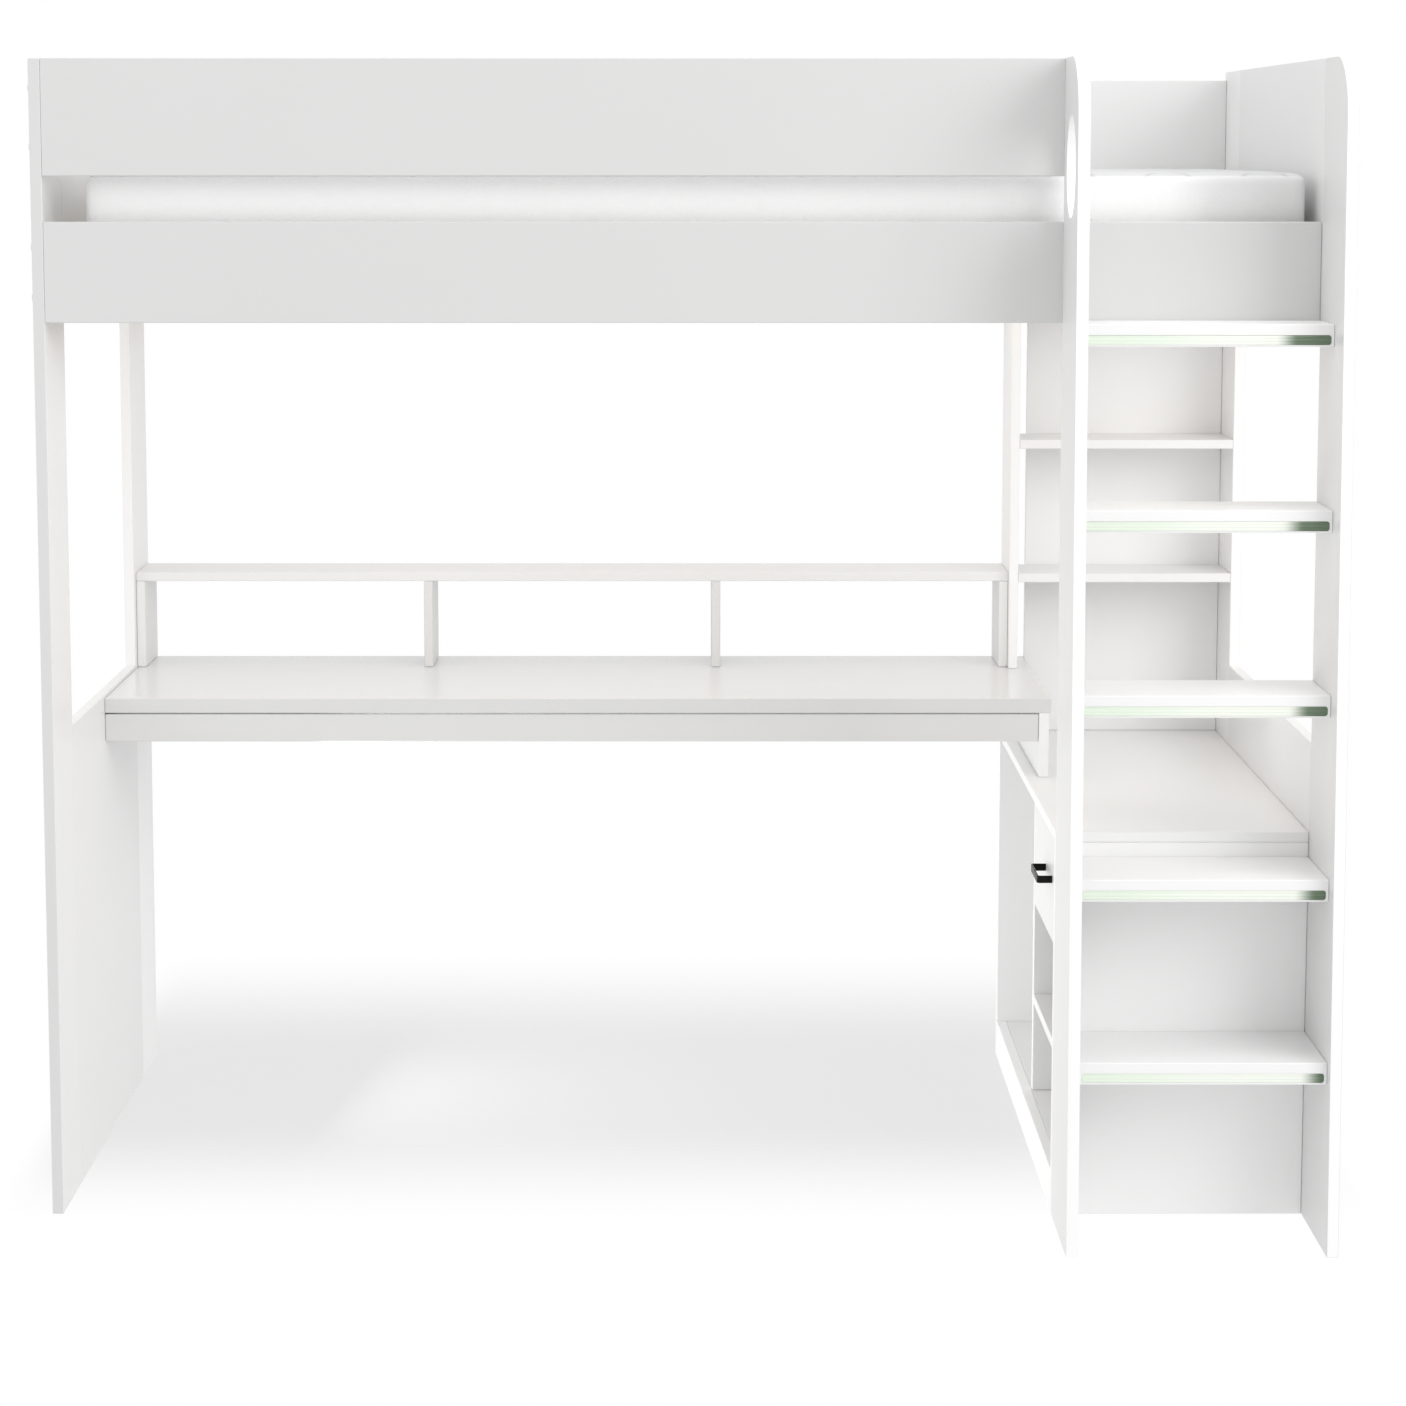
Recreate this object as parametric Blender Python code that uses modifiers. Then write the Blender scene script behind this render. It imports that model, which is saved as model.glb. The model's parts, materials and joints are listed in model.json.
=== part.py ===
"""Loft bed with a ladder, a desk, a small hutch, a bookcase and a drawer cabinet.

Blender 4.5, metres, +Z up. X runs along the bed, with the ladder at the +X end. Y runs from the
front to the wall. The origin is on the floor, under the middle of the whole object.
Run it with: blender --background --python part.py
"""
import math

import bmesh
import bpy
from mathutils import Vector

# ------------------------------------------------------------------ driving sizes
MATTRESS_LENGTH = 1.900     # the bed is made round a standard mattress
MATTRESS_WIDTH = 0.900
HEIGHT = 1.817              # floor to the top of the ends and of the front guard
LADDER_REACH = 0.219        # how far the feet of the ladder uprights stand in front of the rail

# ------------------------------------------------------------------ boards and fits
BOARD = 0.018               # posts, panels, rails and uprights
THIN_BOARD = 0.016          # shelves, dividers and drawer front
EDGE = 0.0010               # eased edge of every board
GAP = 0.0003                # hairline between two boards that touch

# ------------------------------------------------------------------ ends
POST_WIDTH = 0.166          # front and rear posts, seen from the side
SILL_OVER_DESK = 0.005      # lower infill panels stand this much over the desk top

# ------------------------------------------------------------------ bed box
RAIL_BOTTOM = 1.413
RAIL_HEIGHT = 0.155
GUARD_GAP = 0.070           # open gap between rail and guard
REAR_GUARD_DROP = 0.015     # the rear guard ends this much lower than the front one
MATTRESS_THICKNESS = 0.150
MATTRESS_TOP = 1.647
MATTRESS_FRONT_ROOM = 0.020  # mattress to the front rail
MATTRESS_REAR_ROOM = 0.024   # mattress to the rear rail
MATTRESS_LEFT_ROOM = 0.052   # mattress to the left end
MATTRESS_RIGHT_ROOM = 0.012  # mattress to the right end
MATTRESS_EDGE = 0.017
SLAT_COUNT = 13
SLAT_WIDTH = 0.068
SLAT_THICKNESS = 0.018
SLAT_END_ROOM = 0.002       # slat end to rail
TAPE_WIDTH = 0.025          # webbing that keeps the slats in step
TAPE_THICKNESS = 0.0020
TAPE_SINK = 0.0005          # how deep the webbing is stapled into the slats
TAPE_FROM_END = 0.120
CLEAT_HEIGHT = 0.030        # bearer under the slat ends
CLEAT_DEPTH = 0.020

# ------------------------------------------------------------------ ladder
LADDER_CLEAR = 0.379        # between the two uprights
UPRIGHT_TOP_REACH = 0.182   # reach of the straight front edge where the top corner starts
UPRIGHT_CORNER = 0.088      # rounded top front corner
HAND_HOLE_CENTRE_REACH = 0.0935
HAND_HOLE_CENTRE_HEIGHT = 1.653
HAND_HOLE_WIDTH = 0.122
HAND_HOLE_HEIGHT = 0.155
STEP_COUNT = 5
FIRST_STEP_TOP = 0.297
STEP_PITCH = 0.280
STEP_THICKNESS = 0.034
LOWEST_STEP_DEPTH = 0.192
HIGHEST_STEP_DEPTH = 0.122
STRIP_HEIGHT = 0.0145       # glowing strip let into each step
STRIP_DEPTH = 0.006
STRIP_RECESS = 0.0015       # strip face behind the step's front edge
STRIP_LIP = 0.0030          # wood left under the strip
STRIP_END_MARGIN = 0.0050   # slot end to upright
STRIP_CORNER = 0.0040
STRIP_FIT = 0.0003          # play round the strip

# ------------------------------------------------------------------ desk and hutch
DESK_TOP = 0.752
DESK_THICKNESS = 0.025
DESK_FRONT = 0.475          # desk edge behind the front rail face
WALL_ROOM = 0.010           # desk, hutch and bookcase stop this far from the wall side
DESK_RIGHT_OVERHANG = 0.003  # desk top past its right support
APRON_SHADOW_GAP = 0.0025
APRON_HEIGHT = 0.047
APRON_SETBACK = 0.002
SUPPORT_INSET = 0.021       # desk support inside the cabinet's open side
DESK_CLEAT_HEIGHT = 0.040
HUTCH_DEPTH = 0.137
HUTCH_HEIGHT = 0.172
HUTCH_BAYS = 3

# ------------------------------------------------------------------ bookcase over the cabinet
UPPER_SHELF_TOP = 1.164

# ------------------------------------------------------------------ cabinet
CABINET_TOP = 0.616
CABINET_FLOOR = 0.066       # top of the bottom board
CABINET_SHELF_TOP = 0.236
DIVIDER_FRONT = 0.487       # divider behind the front rail face
DRAWER_BOTTOM_EDGE = 0.396  # lower edge of the drawer front

# ------------------------------------------------------------------ drawer, handle and slides
REVEAL = 0.0020             # gap round the drawer front
DRAWER_SIDE = 0.012
DRAWER_SIDE_HEIGHT = 0.150
DRAWER_SIDE_LIFT = 0.020    # box sides above the lower edge of the front
DRAWER_BACK_ROOM = 0.033    # drawer box to the cabinet's far side
DRAWER_FLOOR = 0.006
DRAWER_FLOOR_LIFT = 0.010   # drawer floor above the lower edge of the sides
GROOVE_DEPTH = 0.005
HANDLE_CENTRES = 0.096
HANDLE_REACH = 0.025
HANDLE_BAR = 0.003          # thickness of the bent flat bar
HANDLE_HEIGHT = 0.012
HANDLE_CORNER = 0.005
SLIDE_BACK_ROOM = 0.026     # slide end to the end of the drawer box
SLIDE_HEIGHT = 0.045
SLIDE_WIDTH = 0.0127        # room for one slide beside the drawer box
SLIDE_SHEET = 0.0012
SLIDE_STEP = 0.0032         # each member is this much smaller, above and below
SLIDE_SETBACK = 0.004       # slide behind the drawer front

# ------------------------------------------------------------------ levels and planes worked out
BED_LENGTH = 2 * BOARD + MATTRESS_LEFT_ROOM + MATTRESS_LENGTH + MATTRESS_RIGHT_ROOM
BED_DEPTH = 2 * BOARD + MATTRESS_FRONT_ROOM + MATTRESS_WIDTH + MATTRESS_REAR_ROOM
LEFT_OUT = -BED_LENGTH / 2
RIGHT_OUT = BED_LENGTH / 2
LEFT_IN = LEFT_OUT + BOARD
RIGHT_IN = RIGHT_OUT - BOARD
FRONT = LADDER_REACH - (BED_DEPTH + LADDER_REACH) / 2
BACK = FRONT + BED_DEPTH
REAR_POST_FRONT = BACK - POST_WIDTH
FRONT_POST_BACK = FRONT + POST_WIDTH
UPRIGHT_IN = RIGHT_IN - LADDER_CLEAR
UPRIGHT_OUT = UPRIGHT_IN - BOARD
RAIL_TOP = RAIL_BOTTOM + RAIL_HEIGHT
GUARD_BOTTOM = RAIL_TOP + GUARD_GAP
MATTRESS_BOTTOM = MATTRESS_TOP - MATTRESS_THICKNESS
SLAT_TOP = MATTRESS_BOTTOM - GAP
SLAT_UNDER = SLAT_TOP - SLAT_THICKNESS
DESK_UNDER = DESK_TOP - DESK_THICKNESS
WINDOW_SILL = DESK_TOP + SILL_OVER_DESK
HUTCH_TOP = DESK_TOP + HUTCH_HEIGHT
LOWER_SHELF_TOP = HUTCH_TOP  # the lower book shelf lines up with the hutch
FURNITURE_BACK = BACK - WALL_ROOM
SUPPORT_LEFT = UPRIGHT_OUT + SUPPORT_INSET
DIVIDER_Y = FRONT + DIVIDER_FRONT
DRAWER_OPENING = (FRONT + BOARD, DIVIDER_Y)
DRAWER_FACE_X = UPRIGHT_IN - GAP

# ------------------------------------------------------------------ scene set-up
for old in list(bpy.data.objects):
    bpy.data.objects.remove(old, do_unlink=True)

PARTS = bpy.data.collections.new("loft_bed_with_desk")
CUTTERS = bpy.data.collections.new("cutters")
bpy.context.scene.collection.children.link(PARTS)
bpy.context.scene.collection.children.link(CUTTERS)


def make_material(name, colour, roughness, metallic=0.0):
    """A plain Principled material."""
    material = bpy.data.materials.new(name)
    material.use_nodes = True
    shader = material.node_tree.nodes["Principled BSDF"]
    shader.inputs["Base Color"].default_value = (*colour, 1.0)
    shader.inputs["Roughness"].default_value = roughness
    shader.inputs["Metallic"].default_value = metallic
    material.diffuse_color = (*colour, 1.0)
    return material


WHITE = make_material("white_melamine", (0.84, 0.84, 0.82), 0.35)
GREEN = make_material("pale_green_strip", (0.68, 0.84, 0.62), 0.45)
BLACK = make_material("matte_black_metal", (0.012, 0.012, 0.012), 0.5, 0.6)
STEEL = make_material("zinc_plated_steel", (0.62, 0.63, 0.65), 0.3, 1.0)
WOOD = make_material("raw_spruce", (0.72, 0.56, 0.38), 0.6)
HARDBOARD = make_material("white_hardboard", (0.80, 0.80, 0.78), 0.5)
TICKING = make_material("white_ticking", (0.88, 0.88, 0.87), 0.85)


# ------------------------------------------------------------------ modelling helpers
def keep(obj, name, collection=PARTS, parent=None, material=None):
    """Name an object, put it in one collection, and give it its parent and material."""
    obj.name = name
    obj.data.name = name
    for other in list(obj.users_collection):
        other.objects.unlink(obj)
    collection.objects.link(obj)
    if material:
        obj.data.materials.clear()
        obj.data.materials.append(material)
    if parent:
        obj.parent = parent
        obj.matrix_parent_inverse = parent.matrix_world.inverted()
    return obj


def group(name, location=(0.0, 0.0, 0.0)):
    """An empty that pieces are parented to."""
    empty = bpy.data.objects.new(name, None)
    empty.location = location
    empty.empty_display_size = 0.1
    PARTS.objects.link(empty)
    bpy.context.view_layer.update()
    return empty


def box(name, x, y, z, collection=PARTS, parent=None, material=None):
    """A cuboid between two values on each axis, with its scale applied."""
    lows = Vector((x[0], y[0], z[0]))
    highs = Vector((x[1], y[1], z[1]))
    bpy.ops.mesh.primitive_cube_add(size=1.0, location=(lows + highs) / 2)
    obj = bpy.context.active_object
    size = highs - lows
    for vertex in obj.data.vertices:
        vertex.co = Vector((vertex.co[i] * size[i] for i in range(3)))
    return keep(obj, name, collection, parent, material)


def ease(obj, width=EDGE, segments=1):
    """Ease the sharp edges of a piece with a Bevel modifier."""
    bevel = obj.modifiers.new("eased_edges", 'BEVEL')
    bevel.width = width
    bevel.segments = segments
    bevel.limit_method = 'ANGLE'
    bevel.angle_limit = math.radians(40)
    return obj


def board(name, x, y, z, parent, material=WHITE):
    """A board with eased edges."""
    return ease(box(name, x, y, z, PARTS, parent, material))


def cut(obj, cutter):
    """Take a cutter's shape out of a piece whose edges are eased already."""
    cutter.hide_render = True
    cutter.display_type = 'WIRE'
    boolean = obj.modifiers.new("cut_" + cutter.name, 'BOOLEAN')
    boolean.operation = 'DIFFERENCE'
    boolean.object = cutter
    return obj


def union(obj, tool):
    """Join a tool's shape to a piece."""
    tool.hide_render = True
    tool.display_type = 'WIRE'
    boolean = obj.modifiers.new("join_" + tool.name, 'BOOLEAN')
    boolean.operation = 'UNION'
    boolean.object = tool
    return obj


def arc(centre, radius, start, end, steps=8):
    """Points on an arc, from one angle to another, both in degrees."""
    points = []
    for i in range(steps + 1):
        angle = math.radians(start + (end - start) * i / steps)
        points.append((centre[0] + radius * math.cos(angle), centre[1] + radius * math.sin(angle)))
    return points


def ellipse(centre, width, height, steps=48):
    """Points round an ellipse."""
    points = []
    for i in range(steps):
        angle = 2 * math.pi * i / steps
        points.append((centre[0] + width / 2 * math.cos(angle),
                       centre[1] + height / 2 * math.sin(angle)))
    return points


def plate(name, outlines, thickness, location, rotation, collection=PARTS, parent=None,
          material=None):
    """A flat outline, with holes where outlines nest, extruded to a thickness and made a mesh."""
    curve = bpy.data.curves.new(name, 'CURVE')
    curve.dimensions = '2D'
    curve.fill_mode = 'BOTH'
    curve.extrude = thickness / 2
    for outline in outlines:
        spline = curve.splines.new('POLY')
        spline.points.add(len(outline) - 1)
        for point, (u, v) in zip(spline.points, outline):
            point.co = (u, v, 0.0, 1.0)
        spline.use_cyclic_u = True
    drawn = bpy.data.objects.new(name + "_outline", curve)
    bpy.context.scene.collection.objects.link(drawn)
    drawn.location = location
    drawn.rotation_euler = rotation
    bpy.context.view_layer.update()

    evaluated = drawn.evaluated_get(bpy.context.evaluated_depsgraph_get())
    mesh = bpy.data.meshes.new_from_object(evaluated)
    solid = bmesh.new()
    solid.from_mesh(mesh)
    bmesh.ops.remove_doubles(solid, verts=solid.verts, dist=0.00001)
    bmesh.ops.dissolve_limit(solid, angle_limit=math.radians(1), verts=solid.verts,
                             edges=solid.edges)
    bmesh.ops.recalc_face_normals(solid, faces=solid.faces)
    solid.to_mesh(mesh)
    solid.free()

    obj = bpy.data.objects.new(name, mesh)
    bpy.context.scene.collection.objects.link(obj)
    obj.matrix_world = drawn.matrix_world.copy()
    bpy.data.objects.remove(drawn, do_unlink=True)
    bpy.data.curves.remove(curve)
    bpy.context.view_layer.update()
    return keep(obj, name, collection, parent, material)


# ------------------------------------------------------------------ the two ends
def make_ends():
    """Full-height posts, with a lower infill panel, an open window and an upper panel."""
    ends = group("ends")
    panel_y = (FRONT_POST_BACK + GAP, REAR_POST_FRONT - GAP)
    left_x = (LEFT_OUT, LEFT_IN)
    board("left_front_post", left_x, (FRONT, FRONT_POST_BACK), (0, HEIGHT), ends)
    board("left_rear_post", left_x, (REAR_POST_FRONT, BACK), (0, HEIGHT), ends)
    board("left_lower_panel", left_x, panel_y, (0, WINDOW_SILL), ends)
    board("left_upper_panel", left_x, panel_y, (RAIL_BOTTOM, HEIGHT), ends)

    # At the right end the ladder's right upright takes the place of the front post.
    right_x = (RIGHT_IN, RIGHT_OUT)
    wide_panel_y = (FRONT, REAR_POST_FRONT - GAP)
    board("right_rear_post", right_x, (REAR_POST_FRONT, BACK), (0, HEIGHT), ends)
    board("right_lower_panel", right_x, wide_panel_y, (0, WINDOW_SILL), ends)
    board("right_upper_panel", right_x, wide_panel_y, (RAIL_BOTTOM, HEIGHT), ends)


# ------------------------------------------------------------------ ladder
def upright_outline():
    """Side view of an upright as (reach in front of the rail, height) points.

    The front edge leans back a little and ends in a rounded top corner.
    """
    centre = (UPRIGHT_TOP_REACH - UPRIGHT_CORNER, HEIGHT - UPRIGHT_CORNER)
    outline = [(GAP, 0.0), (LADDER_REACH, 0.0)]
    outline += arc(centre, UPRIGHT_CORNER, 0, 90, 24)
    outline.append((GAP, HEIGHT))
    return outline


def reach_at(height):
    """Reach of the upright's straight front edge at a height."""
    share = height / (HEIGHT - UPRIGHT_CORNER)
    return LADDER_REACH + (UPRIGHT_TOP_REACH - LADDER_REACH) * share


def make_uprights():
    """Two shaped boards. The left one has an oval hand hole."""
    ladder = group("ladder_uprights")
    # The outline is drawn in local X, Y and stood up, so that local X points to the front.
    stand_up = (math.radians(90), 0.0, math.radians(-90))
    hole = ellipse((HAND_HOLE_CENTRE_REACH, HAND_HOLE_CENTRE_HEIGHT), HAND_HOLE_WIDTH,
                   HAND_HOLE_HEIGHT)
    left_middle = (UPRIGHT_OUT + UPRIGHT_IN) / 2
    right_middle = (RIGHT_IN + RIGHT_OUT) / 2
    ease(plate("ladder_left_upright", [upright_outline(), hole], BOARD,
               (left_middle, FRONT, 0), stand_up, PARTS, ladder, WHITE))
    ease(plate("ladder_right_upright", [upright_outline()], BOARD,
               (right_middle, FRONT, 0), stand_up, PARTS, ladder, WHITE))


def make_steps():
    """Five steps between the uprights, each with a strip let into its front edge."""
    ladder = group("ladder_steps")
    step_x = (UPRIGHT_IN + GAP, RIGHT_IN - GAP)
    strip_x = (UPRIGHT_IN + STRIP_END_MARGIN, RIGHT_IN - STRIP_END_MARGIN)
    for i in range(STEP_COUNT):
        depth = LOWEST_STEP_DEPTH + (HIGHEST_STEP_DEPTH - LOWEST_STEP_DEPTH) * i / (STEP_COUNT - 1)
        top = FIRST_STEP_TOP + STEP_PITCH * i
        under = top - STEP_THICKNESS
        front = FRONT - depth
        step = box(f"step_{i + 1}", step_x, (front, FRONT - GAP), (under, top), PARTS, ladder,
                   WHITE)
        strip_z = (under + STRIP_LIP, under + STRIP_LIP + STRIP_HEIGHT)
        strip_front = front + STRIP_RECESS
        strip_back = strip_front + STRIP_DEPTH
        # The slot is open at the step's front edge, and its ends are rounded like the strip's.
        slot = rounded_bar(f"step_slot_{i + 1}", strip_x, (front - STRIP_DEPTH, strip_back), strip_z,
                           STRIP_FIT, CUTTERS, None, None)
        cut(ease(step), slot)
        rounded_bar(f"step_strip_{i + 1}", strip_x, (strip_front, strip_back), strip_z, 0.0,
                    PARTS, ladder, GREEN)


def rounded_bar(name, x, y, z, grow, collection, parent, material):
    """A bar along X whose front outline has rounded corners, grown by a clearance."""
    half_long = (x[1] - x[0]) / 2
    half_high = (z[1] - z[0]) / 2
    outline = []
    for corner, (sign_u, sign_v) in enumerate(((1, 1), (-1, 1), (-1, -1), (1, -1))):
        centre = (sign_u * (half_long - STRIP_CORNER), sign_v * (half_high - STRIP_CORNER))
        outline += arc(centre, STRIP_CORNER + grow, 90 * corner, 90 * corner + 90, 4)
    back = y[1] + grow
    middle = ((x[0] + x[1]) / 2, (y[0] + back) / 2, (z[0] + z[1]) / 2)
    return plate(name, [outline], back - y[0], middle, (math.radians(90), 0.0, 0.0), collection,
                 parent, material)


# ------------------------------------------------------------------ bed box
def make_bed_box():
    """Rails and guards between the ends, bearers, the slat roll and the mattress."""
    bed = group("bed_box")
    inside_x = (LEFT_IN + GAP, RIGHT_IN - GAP)
    front_y = (FRONT, FRONT + BOARD)
    rear_y = (BACK - BOARD, BACK)
    rail_z = (RAIL_BOTTOM, RAIL_TOP)
    board("front_rail", inside_x, front_y, rail_z, bed)
    board("rear_rail", inside_x, rear_y, rail_z, bed)
    # The front guard ends flush with the inner face of the left upright, which it is screwed to.
    board("front_guard", (LEFT_IN + GAP, UPRIGHT_IN), front_y, (GUARD_BOTTOM, HEIGHT), bed)
    board("rear_guard", inside_x, rear_y, (GUARD_BOTTOM, HEIGHT - REAR_GUARD_DROP), bed)

    cleat_z = (SLAT_UNDER - GAP - CLEAT_HEIGHT, SLAT_UNDER - GAP)
    board("slat_bearer_front", inside_x,
          (front_y[1] + GAP, front_y[1] + GAP + CLEAT_DEPTH), cleat_z, bed, WOOD)
    board("slat_bearer_rear", inside_x,
          (rear_y[0] - GAP - CLEAT_DEPTH, rear_y[0] - GAP), cleat_z, bed, WOOD)
    make_slat_roll(bed, (front_y[1] + SLAT_END_ROOM, rear_y[0] - SLAT_END_ROOM))

    left = LEFT_IN + MATTRESS_LEFT_ROOM
    front = front_y[1] + MATTRESS_FRONT_ROOM
    mattress = box("mattress", (left, left + MATTRESS_LENGTH), (front, front + MATTRESS_WIDTH),
                   (MATTRESS_BOTTOM, MATTRESS_TOP), PARTS, bed, TICKING)
    ease(mattress, MATTRESS_EDGE, 3)


def make_slat_roll(parent, slat_y):
    """Slats across the bed, held at their pitch by two webbing tapes stapled under them."""
    first = LEFT_IN + SLAT_END_ROOM
    last = RIGHT_IN - SLAT_END_ROOM - SLAT_WIDTH
    pitch = (last - first) / (SLAT_COUNT - 1)
    slat_z = (SLAT_UNDER, SLAT_TOP)
    roll = box("slat_roll", (first, first + SLAT_WIDTH), slat_y, slat_z, PARTS, parent, WOOD)
    array = roll.modifiers.new("slats", 'ARRAY')
    array.count = SLAT_COUNT
    array.use_relative_offset = False
    array.use_constant_offset = True
    array.constant_offset_displace = (pitch, 0.0, 0.0)
    tape_x = (first + SLAT_WIDTH / 4, last + 3 * SLAT_WIDTH / 4)
    tape_z = (SLAT_UNDER - TAPE_THICKNESS + TAPE_SINK, SLAT_UNDER + TAPE_SINK)
    for side, edge in (("front", slat_y[0] + TAPE_FROM_END),
                       ("rear", slat_y[1] - TAPE_FROM_END - TAPE_WIDTH)):
        tape = box("slat_tape_" + side, tape_x, (edge, edge + TAPE_WIDTH), tape_z, CUTTERS)
        union(roll, tape)


# ------------------------------------------------------------------ desk and hutch
def make_desk():
    """Desk top on a cleat at the left and a support board at the right, with an apron."""
    desk = group("desk")
    front = FRONT + DESK_FRONT
    support_x = (SUPPORT_LEFT, SUPPORT_LEFT + BOARD)
    desk_right = support_x[1] + DESK_RIGHT_OVERHANG
    board("desk_top", (LEFT_IN + GAP, desk_right), (front, FURNITURE_BACK),
          (DESK_UNDER, DESK_TOP), desk)
    under = DESK_UNDER - GAP
    board("desk_support", support_x, (front, FURNITURE_BACK), (CABINET_TOP + GAP, under), desk)
    apron_y = (front + APRON_SETBACK, front + APRON_SETBACK + THIN_BOARD)
    apron_top = DESK_UNDER - APRON_SHADOW_GAP
    board("desk_apron", (LEFT_IN + GAP, support_x[0] - GAP), apron_y,
          (apron_top - APRON_HEIGHT, apron_top), desk)
    board("desk_cleat", (LEFT_IN + GAP, LEFT_IN + GAP + THIN_BOARD),
          (apron_y[1] + GAP, FURNITURE_BACK), (under - DESK_CLEAT_HEIGHT, under), desk)


def make_hutch():
    """A long low shelf unit on the desk, open at front and back, with equal bays."""
    hutch = group("hutch")
    hutch_y = (FURNITURE_BACK - HUTCH_DEPTH, FURNITURE_BACK)
    hutch_x = (LEFT_IN + GAP, UPRIGHT_OUT)
    upright_z = (DESK_TOP + GAP, HUTCH_TOP - THIN_BOARD - GAP)
    board("hutch_top", hutch_x, hutch_y, (HUTCH_TOP - THIN_BOARD, HUTCH_TOP), hutch)
    names = ["hutch_left_side", "hutch_divider_left", "hutch_divider_right", "hutch_right_side"]
    pitch = (hutch_x[1] - hutch_x[0] - THIN_BOARD) / HUTCH_BAYS
    for i, name in enumerate(names):
        left = hutch_x[0] + pitch * i
        board(name, (left, left + THIN_BOARD), hutch_y, upright_z, hutch)


# ------------------------------------------------------------------ bookcase
def make_bookcase():
    """Shelves behind the ladder, between a side panel on the desk and the right rear post."""
    bookcase = group("bookcase")
    front = REAR_POST_FRONT
    side_x = (UPRIGHT_OUT + GAP, UPRIGHT_OUT + GAP + THIN_BOARD)
    top = RAIL_BOTTOM - GAP
    board("bookcase_side", side_x, (front, FURNITURE_BACK), (DESK_TOP + GAP, top), bookcase)
    desk_right = SUPPORT_LEFT + BOARD + DESK_RIGHT_OVERHANG
    inside_x = (side_x[1] + GAP, RIGHT_IN - GAP)
    back_y = (FURNITURE_BACK - THIN_BOARD, FURNITURE_BACK)
    shelf_y = (front, back_y[0] - GAP)
    # The back board passes the desk top's right end on its way down to the cabinet.
    board("bookcase_back", (desk_right + GAP, inside_x[1]), back_y, (CABINET_TOP + GAP, top),
          bookcase)
    for name, level in (("bookcase_lower_shelf", LOWER_SHELF_TOP),
                        ("bookcase_upper_shelf", UPPER_SHELF_TOP),
                        ("bookcase_top", top)):
        board(name, inside_x, shelf_y, (level - THIN_BOARD, level), bookcase)


# ------------------------------------------------------------------ cabinet
def make_cabinet():
    """Cabinet under the ladder. It opens to the knee space, and the right end is its side."""
    cabinet = group("cabinet")
    outer_x = (UPRIGHT_OUT, RIGHT_IN - GAP)
    inner_x = (UPRIGHT_IN + GAP, RIGHT_IN - GAP)
    front_y = (FRONT, FRONT + BOARD)
    rear_y = (BACK - BOARD, BACK)
    inside_y = (front_y[1] + GAP, rear_y[0] - GAP)
    wall_top = CABINET_TOP - THIN_BOARD - GAP
    board("cabinet_top", outer_x, (FRONT, BACK), (CABINET_TOP - THIN_BOARD, CABINET_TOP), cabinet)
    board("cabinet_front_panel", outer_x, front_y, (0, wall_top), cabinet)
    board("cabinet_rear_panel", outer_x, rear_y, (0, wall_top), cabinet)
    board("cabinet_plinth", (UPRIGHT_OUT, UPRIGHT_IN), inside_y, (0, CABINET_FLOOR), cabinet)
    board("cabinet_bottom", inner_x, inside_y, (CABINET_FLOOR - THIN_BOARD, CABINET_FLOOR),
          cabinet)
    board("cabinet_divider", inner_x, (DIVIDER_Y, DIVIDER_Y + THIN_BOARD),
          (CABINET_FLOOR + GAP, wall_top), cabinet)
    board("cabinet_shelf", inner_x, (inside_y[0], DIVIDER_Y - GAP),
          (CABINET_SHELF_TOP - THIN_BOARD, CABINET_SHELF_TOP), cabinet)


# ------------------------------------------------------------------ drawer
def make_drawer():
    """A drawer that slides out to -X: front, two sides, back, floor in grooves, and handle."""
    face_x = (DRAWER_FACE_X, DRAWER_FACE_X + THIN_BOARD)
    face_y = (DRAWER_OPENING[0] + REVEAL, DRAWER_OPENING[1] - REVEAL)
    face_z = (DRAWER_BOTTOM_EDGE, CABINET_TOP - THIN_BOARD - REVEAL)
    middle_y = sum(face_y) / 2
    middle_z = sum(face_z) / 2
    drawer = group("drawer_slide_axis", (face_x[0], middle_y, middle_z))

    box_y = (DRAWER_OPENING[0] + SLIDE_WIDTH, DRAWER_OPENING[1] - SLIDE_WIDTH)
    box_x = (face_x[1] + GAP, RIGHT_IN - DRAWER_BACK_ROOM)
    box_z = (face_z[0] + DRAWER_SIDE_LIFT, face_z[0] + DRAWER_SIDE_LIFT + DRAWER_SIDE_HEIGHT)
    inner_y = (box_y[0] + DRAWER_SIDE, box_y[1] - DRAWER_SIDE)
    floor_z = (box_z[0] + DRAWER_FLOOR_LIFT, box_z[0] + DRAWER_FLOOR_LIFT + DRAWER_FLOOR)
    back_x = (box_x[1] - DRAWER_SIDE, box_x[1])

    floor_x = (face_x[1] - GROOVE_DEPTH, back_x[0] + GROOVE_DEPTH)
    floor_y = (inner_y[0] - GROOVE_DEPTH, inner_y[1] + GROOVE_DEPTH)
    box("drawer_floor", floor_x, floor_y, floor_z, PARTS, drawer, HARDBOARD)
    groove = box("drawer_floor_groove", *grown((floor_x, floor_y, floor_z), GAP), CUTTERS)

    cut(board("drawer_front", face_x, face_y, face_z, drawer), groove)
    for name, side_y in (("drawer_side_front", (box_y[0], inner_y[0])),
                         ("drawer_side_rear", (inner_y[1], box_y[1]))):
        cut(board(name, box_x, side_y, box_z, drawer), groove)
    cut(board("drawer_back", back_x, (inner_y[0] + GAP, inner_y[1] - GAP), box_z, drawer), groove)
    make_handle(drawer, face_x[0], middle_y, middle_z)
    make_slides(drawer, (face_x[1] + SLIDE_SETBACK, box_x[1] - SLIDE_BACK_ROOM), box_z)


def grown(ranges, amount):
    """Ranges on three axes, each made larger at both ends."""
    return [(low - amount, high + amount) for low, high in ranges]


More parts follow.
